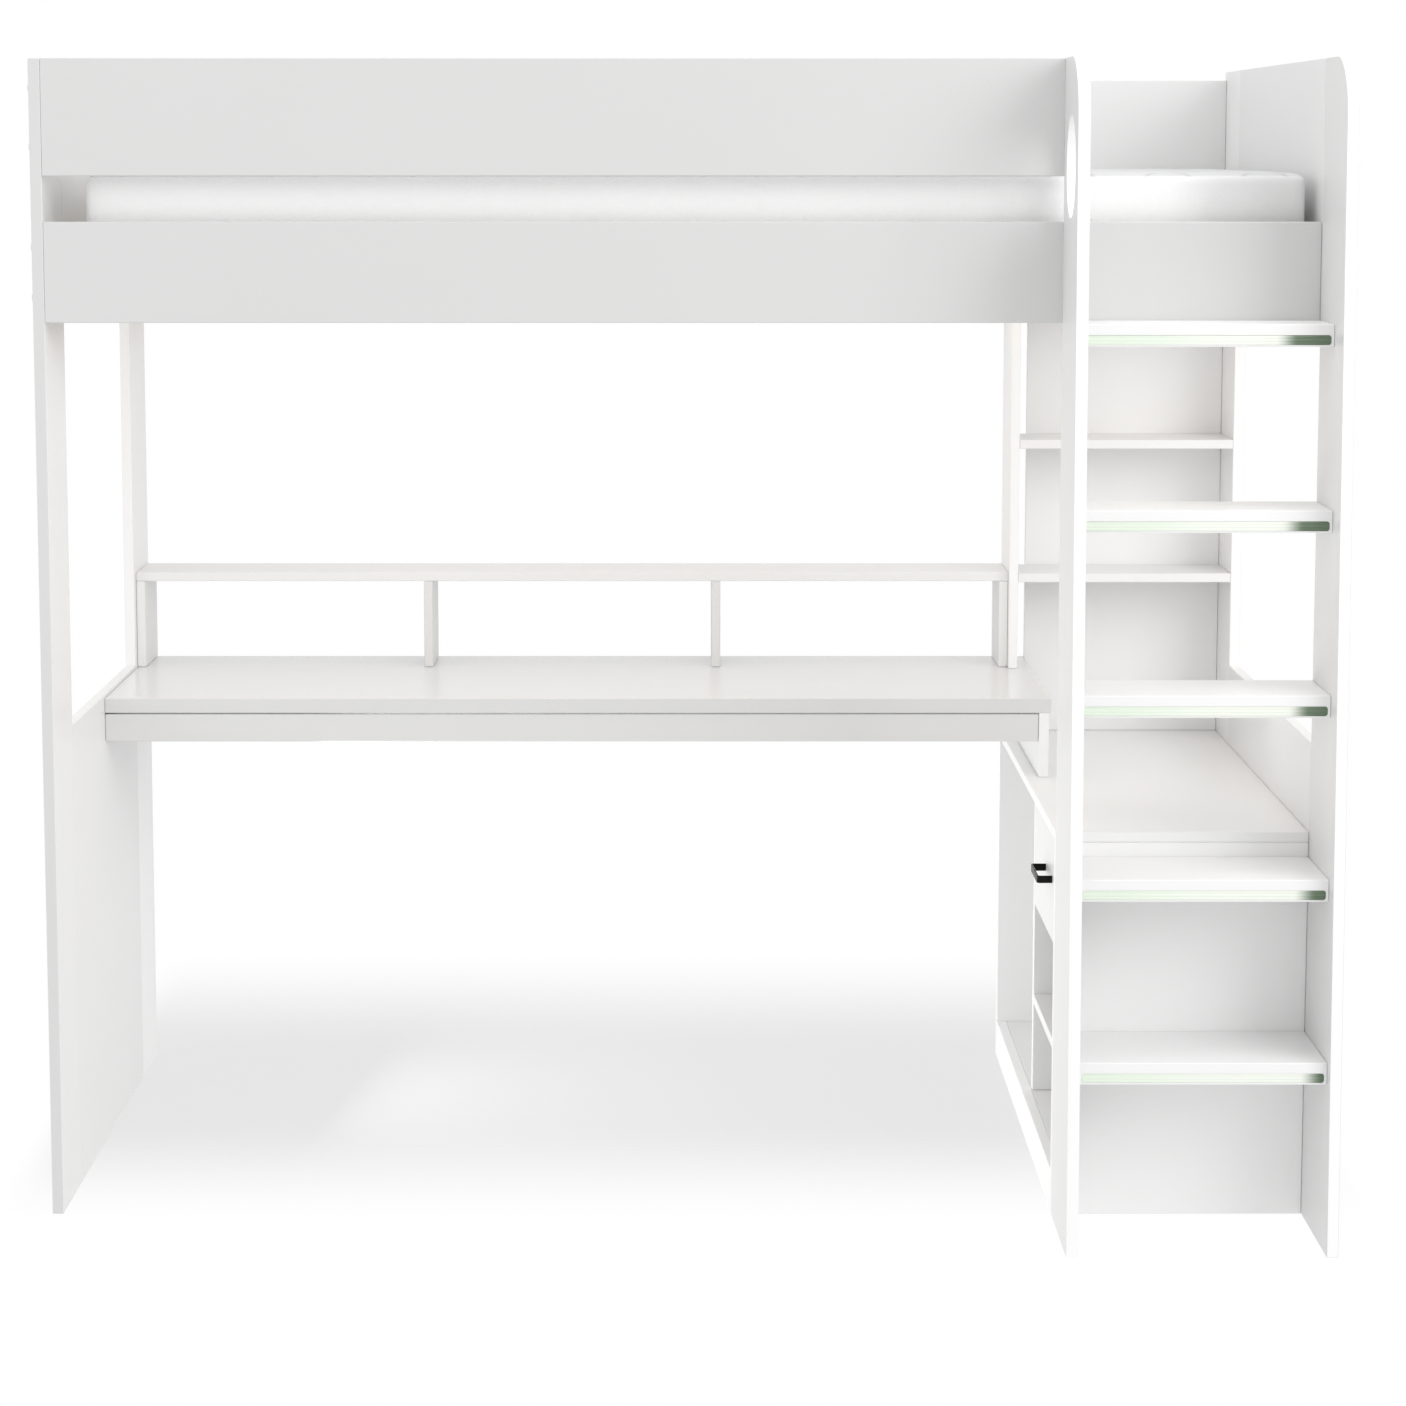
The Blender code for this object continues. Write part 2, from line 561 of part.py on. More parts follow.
def make_handle(parent, face_x, middle_y, middle_z):
    """A bow handle of flat bar with rounded corners, with both feet on the drawer front."""
    half = (HANDLE_CENTRES + HANDLE_BAR) / 2
    reach = HANDLE_REACH
    inner_corner = HANDLE_CORNER - HANDLE_BAR
    outline = [(0.0, -half)]
    outline += [(-u, v) for u, v in arc((reach - HANDLE_CORNER, -half + HANDLE_CORNER),
                                        HANDLE_CORNER, -90, 0, 4)]
    outline += [(-u, v) for u, v in arc((reach - HANDLE_CORNER, half - HANDLE_CORNER),
                                        HANDLE_CORNER, 0, 90, 4)]
    outline.append((0.0, half))
    outline.append((0.0, half - HANDLE_BAR))
    inside = reach - HANDLE_BAR - inner_corner
    outline += [(-u, v) for u, v in arc((inside, half - HANDLE_BAR - inner_corner),
                                        inner_corner, 90, 0, 3)]
    outline += [(-u, v) for u, v in arc((inside, -half + HANDLE_BAR + inner_corner),
                                        inner_corner, 0, -90, 3)]
    outline.append((0.0, -half + HANDLE_BAR))
    handle = plate("drawer_handle", [outline], HANDLE_HEIGHT, (face_x - GAP, middle_y, middle_z),
                   (0.0, 0.0, 0.0), PARTS, parent, BLACK)
    ease(handle, EDGE / 2)


def channel(name, slide_x, web_y, lip_y, height, middle_z, parent):
    """A folded steel channel along X: a web at one Y, and two lips that reach to another Y."""
    toward = 1 if lip_y > web_y else -1
    half = height / 2
    sheet = SLIDE_SHEET
    outline = [(web_y, -half), (lip_y, -half), (lip_y, -half + sheet),
               (web_y + toward * sheet, -half + sheet), (web_y + toward * sheet, half - sheet),
               (lip_y, half - sheet), (lip_y, half), (web_y, half)]
    turned = (math.radians(90), 0.0, math.radians(90))
    return plate(name, [outline], slide_x[1] - slide_x[0], (sum(slide_x) / 2, 0.0, middle_z),
                 turned, PARTS, parent, STEEL)


def make_slides(drawer, slide_x, box_z):
    """Two telescopic slides. Each has a cabinet member, a middle member and a drawer member."""
    middle_z = sum(box_z) / 2
    fixed = group("slides_fixed")
    carriage = group("slides_middle_axis", (slide_x[0], sum(DRAWER_OPENING) / 2, middle_z))
    play = (SLIDE_WIDTH - 3 * SLIDE_SHEET) / 4
    for side, wall, inward in (("front", DRAWER_OPENING[0], 1), ("rear", DRAWER_OPENING[1], -1)):
        drawer_face = wall + inward * SLIDE_WIDTH
        channel(f"slide_{side}_cabinet", slide_x, wall + inward * GAP,
                drawer_face - inward * (SLIDE_SHEET + play), SLIDE_HEIGHT, middle_z, fixed)
        channel(f"slide_{side}_middle", slide_x, wall + inward * (SLIDE_SHEET + play),
                drawer_face - inward * (SLIDE_SHEET + play), SLIDE_HEIGHT - 2 * SLIDE_STEP,
                middle_z, carriage)
        channel(f"slide_{side}_drawer", slide_x, drawer_face - inward * GAP,
                wall + inward * 2 * (SLIDE_SHEET + play), SLIDE_HEIGHT - 4 * SLIDE_STEP,
                middle_z, drawer)


make_ends()
make_uprights()
make_steps()
make_bed_box()
make_desk()
make_hutch()
make_bookcase()
make_cabinet()
make_drawer()
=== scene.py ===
# %% [markdown]
# # A white loft bed with a ladder, a desk and a drawer
#
# On the real object a single bed stands on tall board ends. A ladder with five steps leans
# out at the right, a desk with a low hutch stands underneath, and a bookcase and a drawer
# cabinet fill the right end. The boards, joints and sizes come from the measured model, and
# this lesson gives them their finishes and adds the soft and small pieces.

# %% Load the frame
import json
import math

import bmesh
import bpy
from mathutils import Matrix, Vector


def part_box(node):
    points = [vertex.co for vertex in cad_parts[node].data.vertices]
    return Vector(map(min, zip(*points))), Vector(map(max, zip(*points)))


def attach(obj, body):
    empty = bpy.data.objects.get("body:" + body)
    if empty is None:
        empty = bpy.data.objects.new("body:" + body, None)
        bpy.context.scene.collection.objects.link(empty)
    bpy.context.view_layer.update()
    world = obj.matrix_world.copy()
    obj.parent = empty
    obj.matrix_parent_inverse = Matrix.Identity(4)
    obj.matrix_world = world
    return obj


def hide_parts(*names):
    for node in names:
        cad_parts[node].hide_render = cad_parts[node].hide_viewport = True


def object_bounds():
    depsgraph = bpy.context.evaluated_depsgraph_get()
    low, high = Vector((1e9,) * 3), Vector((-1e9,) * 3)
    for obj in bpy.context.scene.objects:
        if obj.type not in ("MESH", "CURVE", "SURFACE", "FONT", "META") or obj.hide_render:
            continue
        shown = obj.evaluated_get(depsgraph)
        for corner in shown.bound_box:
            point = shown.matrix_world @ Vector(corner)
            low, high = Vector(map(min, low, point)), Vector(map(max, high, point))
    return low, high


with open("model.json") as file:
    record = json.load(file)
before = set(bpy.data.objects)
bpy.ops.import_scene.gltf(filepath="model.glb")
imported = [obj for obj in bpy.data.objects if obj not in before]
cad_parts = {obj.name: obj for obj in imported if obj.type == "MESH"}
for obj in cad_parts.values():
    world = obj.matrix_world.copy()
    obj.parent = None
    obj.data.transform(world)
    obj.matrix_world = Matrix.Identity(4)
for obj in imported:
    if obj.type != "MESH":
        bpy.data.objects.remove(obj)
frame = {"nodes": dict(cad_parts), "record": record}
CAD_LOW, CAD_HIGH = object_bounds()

NODES = frame["nodes"]
print("frame:", len(NODES), "nodes in a box of", [round(v, 3) for v in CAD_HIGH - CAD_LOW])

# %% [markdown]
# ## Tools for picking
#
# Blender's operators act on whatever is selected. The loaded boards are all selected at
# first, so each tool here starts by putting everything down, and then takes one piece.
# Faces and edges are picked by a test on their place or direction.

# %% Tools for picking
def put_down():
    """Object mode with nothing selected."""
    if bpy.context.mode != "OBJECT":
        bpy.ops.object.mode_set(mode="OBJECT")
    bpy.ops.object.select_all(action="DESELECT")


def take(piece):
    """Selects one piece alone and makes it the active one."""
    put_down()
    piece.select_set(True)
    bpy.context.view_layer.objects.active = piece


def pick(piece, kind, wanted):
    """Opens the piece's mesh and selects the faces or edges that pass the test."""
    if bpy.context.mode != "EDIT_MESH":
        take(piece)
        bpy.ops.object.mode_set(mode="EDIT")
    bpy.ops.mesh.select_mode(type=kind)
    bpy.ops.mesh.select_all(action="DESELECT")
    mesh = bmesh.from_edit_mesh(piece.data)
    for element in mesh.faces if kind == "FACE" else mesh.edges:
        if wanted(element):
            element.select_set(True)
    bmesh.update_edit_mesh(piece.data)


def edge_along(edge):
    """The direction of an edge, with positive numbers only."""
    line = edge.verts[1].co - edge.verts[0].co
    return Vector([abs(v) for v in line]) / max(line.length, 1e-9)


def edge_middle(edge):
    """The point half way along an edge."""
    return (edge.verts[0].co + edge.verts[1].co) / 2


put_down()

# %% [markdown]
# ## Tools for making and fitting
#
# A new piece starts as a primitive of the right size in the right place. Its scale is
# applied at once, so that bevels are even and the object itself sits at the origin.
# A finished piece rides on a body of the frame, so that it moves with it.

# %% Tools for making and fitting
def block(name, low, high):
    """A box between two corners, with its place in its mesh."""
    put_down()
    low, high = Vector(low), Vector(high)
    bpy.ops.mesh.primitive_cube_add(size=1, location=(low + high) / 2, scale=high - low)
    piece = bpy.context.active_object
    piece.name = name
    bpy.ops.object.transform_apply(location=True, rotation=True, scale=True)
    return piece


def rod(name, centre, radius, length, axis="Z", sides=24):
    """A round bar along one axis, with its place in its mesh."""
    put_down()
    turns = {"X": (0, math.pi / 2, 0), "Y": (math.pi / 2, 0, 0), "Z": (0, 0, 0)}
    bpy.ops.mesh.primitive_cylinder_add(vertices=sides, radius=radius, depth=length,
                                        location=centre, rotation=turns[axis])
    piece = bpy.context.active_object
    piece.name = name
    bpy.ops.object.transform_apply(location=True, rotation=True, scale=True)
    return piece


def settle(piece, kind, **settings):
    """Adds a modifier with these settings and applies it."""
    take(piece)
    modifier = piece.modifiers.new(kind.lower(), kind)
    for name, value in settings.items():
        setattr(modifier, name, value)
    bpy.ops.object.modifier_apply(modifier=modifier.name)


def smooth(piece, angle=35):
    """Soft shading, with edges sharper than the angle kept crisp."""
    take(piece)
    bpy.ops.object.shade_smooth_by_angle(angle=math.radians(angle))


def copy_to(piece, name, shift):
    """A copy with its own mesh, moved by the shift."""
    twin = piece.copy()
    twin.data = piece.data.copy()
    twin.name = name
    bpy.context.scene.collection.objects.link(twin)
    twin.data.transform(Matrix.Translation(shift))
    return twin


def join(name, pieces):
    """Joins pieces into one named piece."""
    take(pieces[0])
    for piece in pieces:
        piece.select_set(True)
    bpy.ops.object.join()
    pieces[0].name = name
    return pieces[0]


def fit(piece, body, slot, finish, *nodes):
    """Paints a new piece, sets it on its body, and hides the boards it stands for."""
    piece.data.materials.clear()
    piece.data.materials.append(finish)
    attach(piece, body)
    if nodes:
        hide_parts(*nodes)
    print(piece.name, "rides on", body, "with", len(piece.data.polygons), "faces")


# %% [markdown]
# ## The camera
#
# The camera stands in front of the middle of the bed at eye height and looks slightly
# down. A tall subject seen level would need a large lens shift, and that shift would push
# the bed out of the other views, so a part of it is done by tipping the camera instead.

# %% The camera
EYE = Vector((0.0, -5.6952, 1.6790))
EYE_TIP = math.radians(83.279)
put_down()
bpy.ops.object.camera_add(location=EYE, rotation=(EYE_TIP, 0, 0))
camera = bpy.context.active_object
camera.name = "eye"
camera.data.sensor_width = 36
camera.data.lens = 88.29
camera.data.shift_x = 0.0146
camera.data.shift_y = -0.105
camera.data.dof.use_dof = False
bpy.context.scene.camera = camera
print("camera at", [round(v, 2) for v in EYE], "with a lens of", camera.data.lens, "mm")

# %% [markdown]
# ## Shader maths
#
# A finish is a small network of nodes. Writing every Math node by hand hides the idea, so
# one class wraps a node's output and lets Python's own signs add the Math nodes. Another
# class holds a material and adds any other node from its type, settings and sockets.

# %% Shader maths
class Value:
    """One output of a node in a finish."""

    def __init__(self, finish, socket):
        self.finish = finish
        self.socket = socket

    def maths(self, operation, *others):
        """A Math node on this value and any others."""
        return self.finish.node("Math", {"operation": operation}, dict(enumerate((self, *others))))

    def __add__(self, other):
        return self.maths("ADD", other)

    __radd__ = __add__

    def __mul__(self, other):
        return self.maths("MULTIPLY", other)

    __rmul__ = __mul__

    def __sub__(self, other):
        return self.maths("SUBTRACT", other)

    def __rsub__(self, other):
        return (self * -1) + other

    def __truediv__(self, other):
        return self.maths("DIVIDE", other)

    def __pow__(self, other):
        return self.maths("POWER", other)

    def rise(self, start, end):
        """A soft step from 0 at start to 1 at end."""
        kind = {"interpolation_type": "SMOOTHSTEP"}
        return self.finish.node("MapRange", kind, {0: self, 1: start, 2: end})


class Finish:
    """A material that is built up node by node."""

    def __init__(self, name):
        self.material = bpy.data.materials.new(name)
        self.material.use_nodes = True
        self.nodes = self.material.node_tree.nodes
        self.links = self.material.node_tree.links
        self.shader = self.nodes["Principled BSDF"]

    def set(self, target, value):
        """A link where the value is a node's output, or else the socket's own number."""
        if isinstance(value, Value):
            self.links.new(value.socket, target)
        else:
            target.default_value = value

    def node(self, kind, settings=None, sockets=None, output=0):
        """Adds a node: its settings first, then its sockets' values or links."""
        made = self.nodes.new("ShaderNode" + kind)
        for name, value in (settings or {}).items():
            setattr(made, name, value)
        for name, value in (sockets or {}).items():
            self.set(made.inputs[name], value)
        return Value(self, made.outputs[output])

    def place(self):
        """The point on the piece, in metres."""
        return self.node("TexCoord", output="Object")

    def along(self, vector, axis):
        """One number of a vector."""
        return self.node("SeparateXYZ", sockets={0: vector}, output=axis)

    def noise(self, scale, detail=2.0, stretch=(1, 1, 1)):
        """Cloudy noise from 0 to 1, with so many lumps to the metre."""
        grid = self.node("Mapping", sockets={"Vector": self.place(), "Scale": stretch})
        sockets = {"Vector": grid, "Scale": scale, "Detail": detail}
        return self.node("TexNoise", sockets=sockets)

    def blend(self, share, first, second):
        """A colour between two colours."""
        sockets = {0: share, 6: first, 7: second}
        return self.node("Mix", {"data_type": "RGBA"}, sockets, output=2)

    def shades(self, **values):
        """Values for the shader's sockets, by name with _ for a space."""
        for name, value in values.items():
            self.set(self.shader.inputs[name.replace("_", " ")], value)

    def relief(self, height, distance, strength=1.0):
        """Raises the surface by a height from 0 to 1 times a distance in metres."""
        sockets = {"Height": height, "Distance": distance, "Strength": strength}
        self.shades(Normal=self.node("Bump", sockets=sockets))


def grey(tone, warmth=0.0):
    """A near grey colour. Warmth lifts the red and lowers the blue."""
    return (tone + warmth, tone, tone - warmth, 1.0)


print("shader tools ready")

# %% [markdown]
# ## The white world
#
# The bed stands in a white studio. An even white world gives nearly shadowless light, as a
# white cove does. The camera sees that world as pure white, while the boards are lit by a
# slightly weaker one, so that white boards still stand out against it.

# %% The white world
AMBIENT = 0.83
scene = bpy.context.scene
scene.view_settings.view_transform = "Standard"
scene.view_settings.look = "None"
scene.world = bpy.data.worlds.new("white_cove")
scene.world.use_nodes = True
tree = scene.world.node_tree
sky = tree.nodes["Background"]
sky.inputs["Color"].default_value = (1, 1, 1, 1)
sky.inputs["Strength"].default_value = AMBIENT
backdrop = tree.nodes.new("ShaderNodeBackground")
backdrop.inputs["Color"].default_value = (1, 1, 1, 1)
backdrop.inputs["Strength"].default_value = 1.0
choice = tree.nodes.new("ShaderNodeMixShader")
seen = tree.nodes.new("ShaderNodeLightPath")
tree.links.new(seen.outputs["Is Camera Ray"], choice.inputs[0])
tree.links.new(sky.outputs[0], choice.inputs[1])
tree.links.new(backdrop.outputs[0], choice.inputs[2])
tree.links.new(choice.outputs[0], tree.nodes["World Output"].inputs["Surface"])
print("white world of strength", AMBIENT)

# %% [markdown]
# ## The floor
#
# The floor is one disc whose paint glows, so that it stays even. It could be a plain grey plane,
# but its edge would show against the white. Its alpha fades it out all round instead, and a soft
# pale grey patch is left under the bed: a painted shadow of the bed, whose glowing grey stands in
# for the shade there.

# %% The floor
FLOOR_REACH = 3.4
SHADE_GLOW = 0.73
SHADE_FRONT = (-0.45, 0.15)
SHADE_BACK = (0.60, 1.45)
SHADE_EDGE = 0.12

put_down()
bpy.ops.mesh.primitive_circle_add(vertices=128, radius=FLOOR_REACH, fill_type="NGON")
floor = bpy.context.active_object
floor.name = "studio_floor"
paint = Finish("studio_paint")
dust = paint.noise(0.4)
paint.shades(Base_Color=paint.blend(dust, grey(0.06), grey(0.08)), Roughness=0.9)
paint.shades(Emission_Color=(1, 1, 1, 1), Emission_Strength=SHADE_GLOW)
along_bed = paint.along(paint.place(), "X").maths("ABSOLUTE")
across_bed = paint.along(paint.place(), "Y")
in_front = across_bed.rise(*SHADE_FRONT)
behind = across_bed.rise(*SHADE_BACK)
beside = along_bed.rise(CAD_HIGH.x, CAD_HIGH.x + SHADE_EDGE)
# The alpha keeps only the glowing grey patch under the bed, which is a painted shadow of the bed.
paint.shades(Alpha=in_front * (1 - behind) * (1 - beside))
paint.shader.inputs["Specular IOR Level"].default_value = 0.0
floor.data.materials.append(paint.material)
print("floor of", 2 * FLOOR_REACH, "m, shaded from", SHADE_FRONT[0], "to", SHADE_BACK[1], "m")

# %% [markdown]
# ## The lights
#
# One large soft light stands high at the right, so that right-facing and upper faces are a
# little brighter. Smaller ones help from above, from the left, under the bed and in the
# knee space. Area lights are used, because a wide source gives soft edges to its shade.

# %% The lights
def soft_light(name, place, target, size, power):
    """A square light at a place, turned towards a target."""
    put_down()
    turn = (Vector(target) - Vector(place)).to_track_quat("-Z", "Y").to_euler()
    bpy.ops.object.light_add(type="AREA", location=place, rotation=turn)
    light = bpy.context.active_object
    light.name = name
    light.data.size = size
    light.data.energy = power
    light.visible_camera = False
    return light


MIDDLE = (CAD_LOW + CAD_HIGH) / 2
soft_light("key", (3.9, -4.2, 3.6), MIDDLE, 3.6, 118)
soft_light("overhead", (0.3, -0.6, 5.2), (0, 0, 0), 3.0, 52)
under_bed = soft_light("under_bed", (0, 0.1, 1.40), (0, 0.1, 0), 1.8, 3.2)
under_bed.data.shape = "RECTANGLE"
under_bed.data.size_y = 0.85
soft_light("knee_fill", (-0.60, 0.32, 0.36), (0.60, 0.15, 0.36), 0.5, 5.5)
soft_light("left_fill", (-3.6, -1.8, 1.5), MIDDLE, 2.0, 14)

# %% [markdown]
# ## White melamine board
#
# The boards are particle board faced with white melamine. The faces have a very fine pressed grain
# that breaks up reflections. The long narrow edges carry a smoother plastic band with a tone of
# its own. That tone is partly a real whiter band and partly painted light, which makes the edges
# lighter or darker than the faces. The eased corner between them catches dust. The finish tells a
# face from an edge by its direction, so one finish serves all boards of the same thin axis.

# %% White melamine board
def melamine(name, thin, tone, band, gloss=0.38):
    """The finish of a white board whose thickness runs along one axis."""
    finish = Finish(name)
    normal = finish.node("TexCoord", output="Normal")
    facing = finish.along(normal, thin).maths("ABSOLUTE")
    on_face = facing.rise(0.90, 0.99)
    on_band = 1 - facing.rise(0.05, 0.25)
    clouds = finish.noise(1.7, 4.0)
    colour = finish.blend(clouds, grey(tone - 0.012, 0.003), grey(tone + 0.012, 0.001))
    # The edge band's tone is partly a real whiter band and partly painted light on the narrow
    # edges.
    colour = finish.blend(on_band, colour, grey(band, 0.001))
    eased = (1 - on_face) * (1 - on_band)
    rubbed = finish.noise(46.0, 3.0)
    colour = finish.blend(eased * rubbed * 0.5, colour, grey(tone - 0.14, 0.006))
    smears = finish.noise(5.5, 5.0, (1.0, 1.0, 0.35))
    finish.shades(Base_Color=colour, Roughness=smears * 0.10 + gloss - on_band * 0.06)
    pearl = finish.noise(1400.0, 1.0) * on_face
    flow = finish.noise(7.0, 1.0)
    finish.relief(pearl * 0.12 + flow, 0.0004)
    finish.shades(IOR=1.5, Coat_Weight=0.25, Coat_Roughness=0.25)
    return finish.material


BOARD_FINISH = {
    "X": melamine("melamine_x", "X", tone=0.81, band=0.93),
    "Y": melamine("melamine_y", "Y", tone=0.89, band=0.89),
    "Z": melamine("melamine_z", "Z", tone=0.86, band=0.88),
}
print("board finishes:", sorted(BOARD_FINISH))

# %% [markdown]
# ## Boards take their finish
#
# Each loaded board keeps its mesh and gets a better material in its slot. The thin axis of
# a board is the shortest side of its box, so the board itself says which finish it needs.
# Soft light never falls the same on every board, so some boards get a slightly lighter or
# darker white to balance it. The desk top is a glossier laminate of its own.

# %% Boards take their finish
def paint_node(name, finish):
    """A finish in every material slot of a loaded piece."""
    for place in NODES[name].material_slots:
        place.material = finish


def thin_axis(name):
    """The axis along which a board is thinnest."""
    low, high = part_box(name)
    sides = high - low
    return "XYZ"[min(range(3), key=lambda i: sides[i])]


SLOT_OF = {part["node"]: part["material_slot"] for part in frame["record"]["subparts"]}
BOARDS = [name for name, slot in SLOT_OF.items() if slot == "white_melamine"]
for name in BOARDS:
    paint_node(name, BOARD_FINISH[thin_axis(name)])

# Each row: the finish, the thin axis, the tone of the faces and of the edge band, the boards.
OTHER_SHEETS = [
    ("rail_sheet", "Y", 0.68, 0.73, ("front_guard", "front_rail", "rear_rail")),
    ("rear_guard_sheet", "Y", 0.79, 0.82, ("rear_guard",)),
    ("post_sheet", "X", 0.82, 0.69, ("left_front_post",)),
    ("bright_side_sheet", "X", 0.96, 0.96, ("bookcase_side",)),
    ("right_panel_sheet", "X", 0.85, 0.93, ("right_upper_panel", "right_lower_panel")),
    ("rear_post_sheet", "X", 0.91, 0.95, ("left_rear_post", "right_rear_post")),
    ("bright_back_sheet", "Y", 0.95, 0.95, ("bookcase_back", "cabinet_front_panel")),
    ("cabinet_back_sheet", "Y", 0.96, 0.96, ("cabinet_rear_panel",)),
    ("plinth_sheet", "X", 0.95, 0.95, ("cabinet_plinth", "cabinet_divider")),
    ("tread_sheet", "Z", 0.93, 0.90, ("step_1", "step_2", "step_3", "step_4", "step_5")),
    ("cabinet_top_sheet", "Z", 0.94, 0.92, ("cabinet_top",)),
    ("ladder_side_sheet", "X", 0.78, 0.95, ("ladder_right_upright", "ladder_left_upright")),
    ("divider_sheet", "X", 0.76, 0.80, ("hutch_divider_left", "hutch_divider_right")),
    ("apron_sheet", "Y", 0.74, 0.74, ("desk_apron",)),
]
for sheet, thin, tone, band, names in OTHER_SHEETS:
    finish = melamine(sheet, thin, tone, band)
    for name in names:
        paint_node(name, finish)

paint_node("desk_top", melamine("desk_laminate", "Z", tone=0.81, band=0.72, gloss=0.14))
print(len(BOARDS), "white boards painted")

# %% [markdown]
# ## Knitted mattress cover
#
# The cover is a white stretch knit. Close up it has fine rows of loops, which a wave in two
# directions gives, and its tone wanders a little. Sheen gives the soft bright rim of cloth. The
# top is quilted in diamonds: two sets of slanting lines are pressed in as creases, on the same
# lines along which the filling is held later, and the creases are also painted darker as painted
# shade. The top panel is painted greyer than the sides against the strong light from above, and
# the sides are painted greyer towards the ladder as the painted shade of its upright.

# %% Knitted mattress cover
QUILT = 0.150
CREASE = 0.006
LADDER_SHADE_FROM = 0.74
LADDER_SHADE_FULLY = 0.84


def knit(name, side_tone, top_tone, rows=420.0):
    """White knitted cloth, its top panel painted greyer against the light from above, and painted
    shade on its sides beside the ladder.
    """
    finish = Finish(name)
    normal = finish.node("TexCoord", output="Normal")
    on_top = finish.along(normal, "Z").maths("ABSOLUTE").rise(0.5, 0.9)
    place = finish.place()
    lengthwise = finish.along(place, "X")
    rib = lengthwise * (rows * math.pi)
    course = (finish.along(place, "Y") + finish.along(place, "Z")) * (rows * 0.8 * math.pi)
    loops = rib.maths("SINE") * course.maths("SINE") * 0.5 + 0.5
    clouds = finish.noise(3.0, 4.0)
    fibre = finish.noise(900.0, 2.0)
    # Painted shade: the sides turn greyer towards the ladder, where its upright shades them.
    ladder_shade = lengthwise.rise(LADDER_SHADE_FROM, LADDER_SHADE_FULLY) * (1 - on_top)
    # Painted shade: the top panel takes a much greyer tone than the sides, to hold back the strong
    # light from above.
    colour = finish.blend(on_top, grey(side_tone), grey(top_tone, -0.002))
    colour = finish.blend(ladder_shade, colour, grey(side_tone - 0.16))
    colour = finish.blend(clouds * 0.05, colour, grey(top_tone - 0.2))
    colour = finish.blend(loops * 0.06, colour, grey(top_tone - 0.1))
    across = (lengthwise - MIDDLE.x + finish.along(place, "Y")) / QUILT
    back = (lengthwise - MIDDLE.x - finish.along(place, "Y")) / QUILT
    off_line = across.maths("PINGPONG", 0.5).maths("MINIMUM", back.maths("PINGPONG", 0.5))
    # The crease lines are pressed in by the relief and also painted darker, as painted shade in
    # the creases.
    crease_and_shade = (1 - off_line.rise(0.0, CREASE / QUILT)) * on_top
    colour = finish.blend(crease_and_shade * 0.5, colour, grey(top_tone - 0.18))
    finish.shades(Base_Color=colour, Roughness=fibre * 0.12 + 0.78)
    finish.shades(Sheen_Weight=0.25, Sheen_Roughness=0.5)
    finish.relief(loops * 0.15 + fibre * 0.06 - crease_and_shade, 0.0024, 0.6)
    return finish.material


COVER = knit("mattress_knit", 0.95, 0.66)
print("cover finish", COVER.name)

# %% [markdown]
# ## The mattress
#
# The real mattress is a soft block with tight seams, rounded corners and a quilted top. A
# plain rounded box would look like plastic, so the block is filled like a cushion: a cloth
# simulation blows it up against its seams and stitch lines, which are held in place, and
# that gives the gentle swells between them. The block starts a little smaller than the
# measured one, because it swells.

# %% The mattress
BED_LOW, BED_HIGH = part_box("mattress")
SWELL_ROOM = 0.005
CORNER_RADIUS = 0.013
SEAM = 0.014
VOXEL = 0.0135
MOST_SWELL = 0.006


def mattress_block():
    """The block with its upright corners and its top and bottom edges rounded."""
    room = Vector((SWELL_ROOM, SWELL_ROOM, SWELL_ROOM))
    piece = block("mattress_cover", BED_LOW + room, BED_HIGH - room)
    pick(piece, "EDGE", lambda edge: edge_along(edge).z > 0.9)
    bpy.ops.mesh.bevel(offset=CORNER_RADIUS, segments=5, affect="EDGES")
    top, bottom = BED_HIGH.z - SWELL_ROOM, BED_LOW.z + SWELL_ROOM

    def rim(edge):
        """True on the top and bottom outlines."""
        level = edge_middle(edge).z
        sides = [abs(face.normal.z) for face in edge.link_faces]
        return (abs(level - top) < 1e-4 or abs(level - bottom) < 1e-4) and min(sides) < 0.1

    pick(piece, "EDGE", rim)
    bpy.ops.mesh.bevel(offset=CORNER_RADIUS, segments=5, affect="EDGES")
    put_down()
    return piece


print("mattress of", [round(v, 3) for v in BED_HIGH - BED_LOW])

# %% [markdown]
# ## Stitches and filling
#
# A point near two outer faces lies on a seam, and a point on a slanting quilt line is
# stitched down. Those are pinned in the cloth simulation and the rest may swell. Even
# voxels are made first, because the long faces of a box can't bend.

# %% Stitches and filling
AIR_PRESSURE = 4.0
FILLING_FRAMES = 20


def stitch_share(point):
    """How firmly a point is held by the stitching, from 0 to 1."""
    from_end = min(point.x - BED_LOW.x, BED_HIGH.x - point.x)
    from_side = min(point.y - BED_LOW.y, BED_HIGH.y - point.y)
    from_top = min(point.z - BED_LOW.z, BED_HIGH.z - point.z)
    if sorted((from_end, from_side, from_top))[1] < SWELL_ROOM + SEAM:
        return 1.0
    if from_top > SWELL_ROOM * 1.6 or min(from_end, from_side) < QUILT * 0.3:
        return 0.0
    across = (point.x - MIDDLE.x + point.y) / QUILT
    back = (point.x - MIDDLE.x - point.y) / QUILT
    off_line = min(abs(across - round(across)), abs(back - round(back))) * QUILT
    return 1.0 if off_line < VOXEL * 0.75 else 0.0


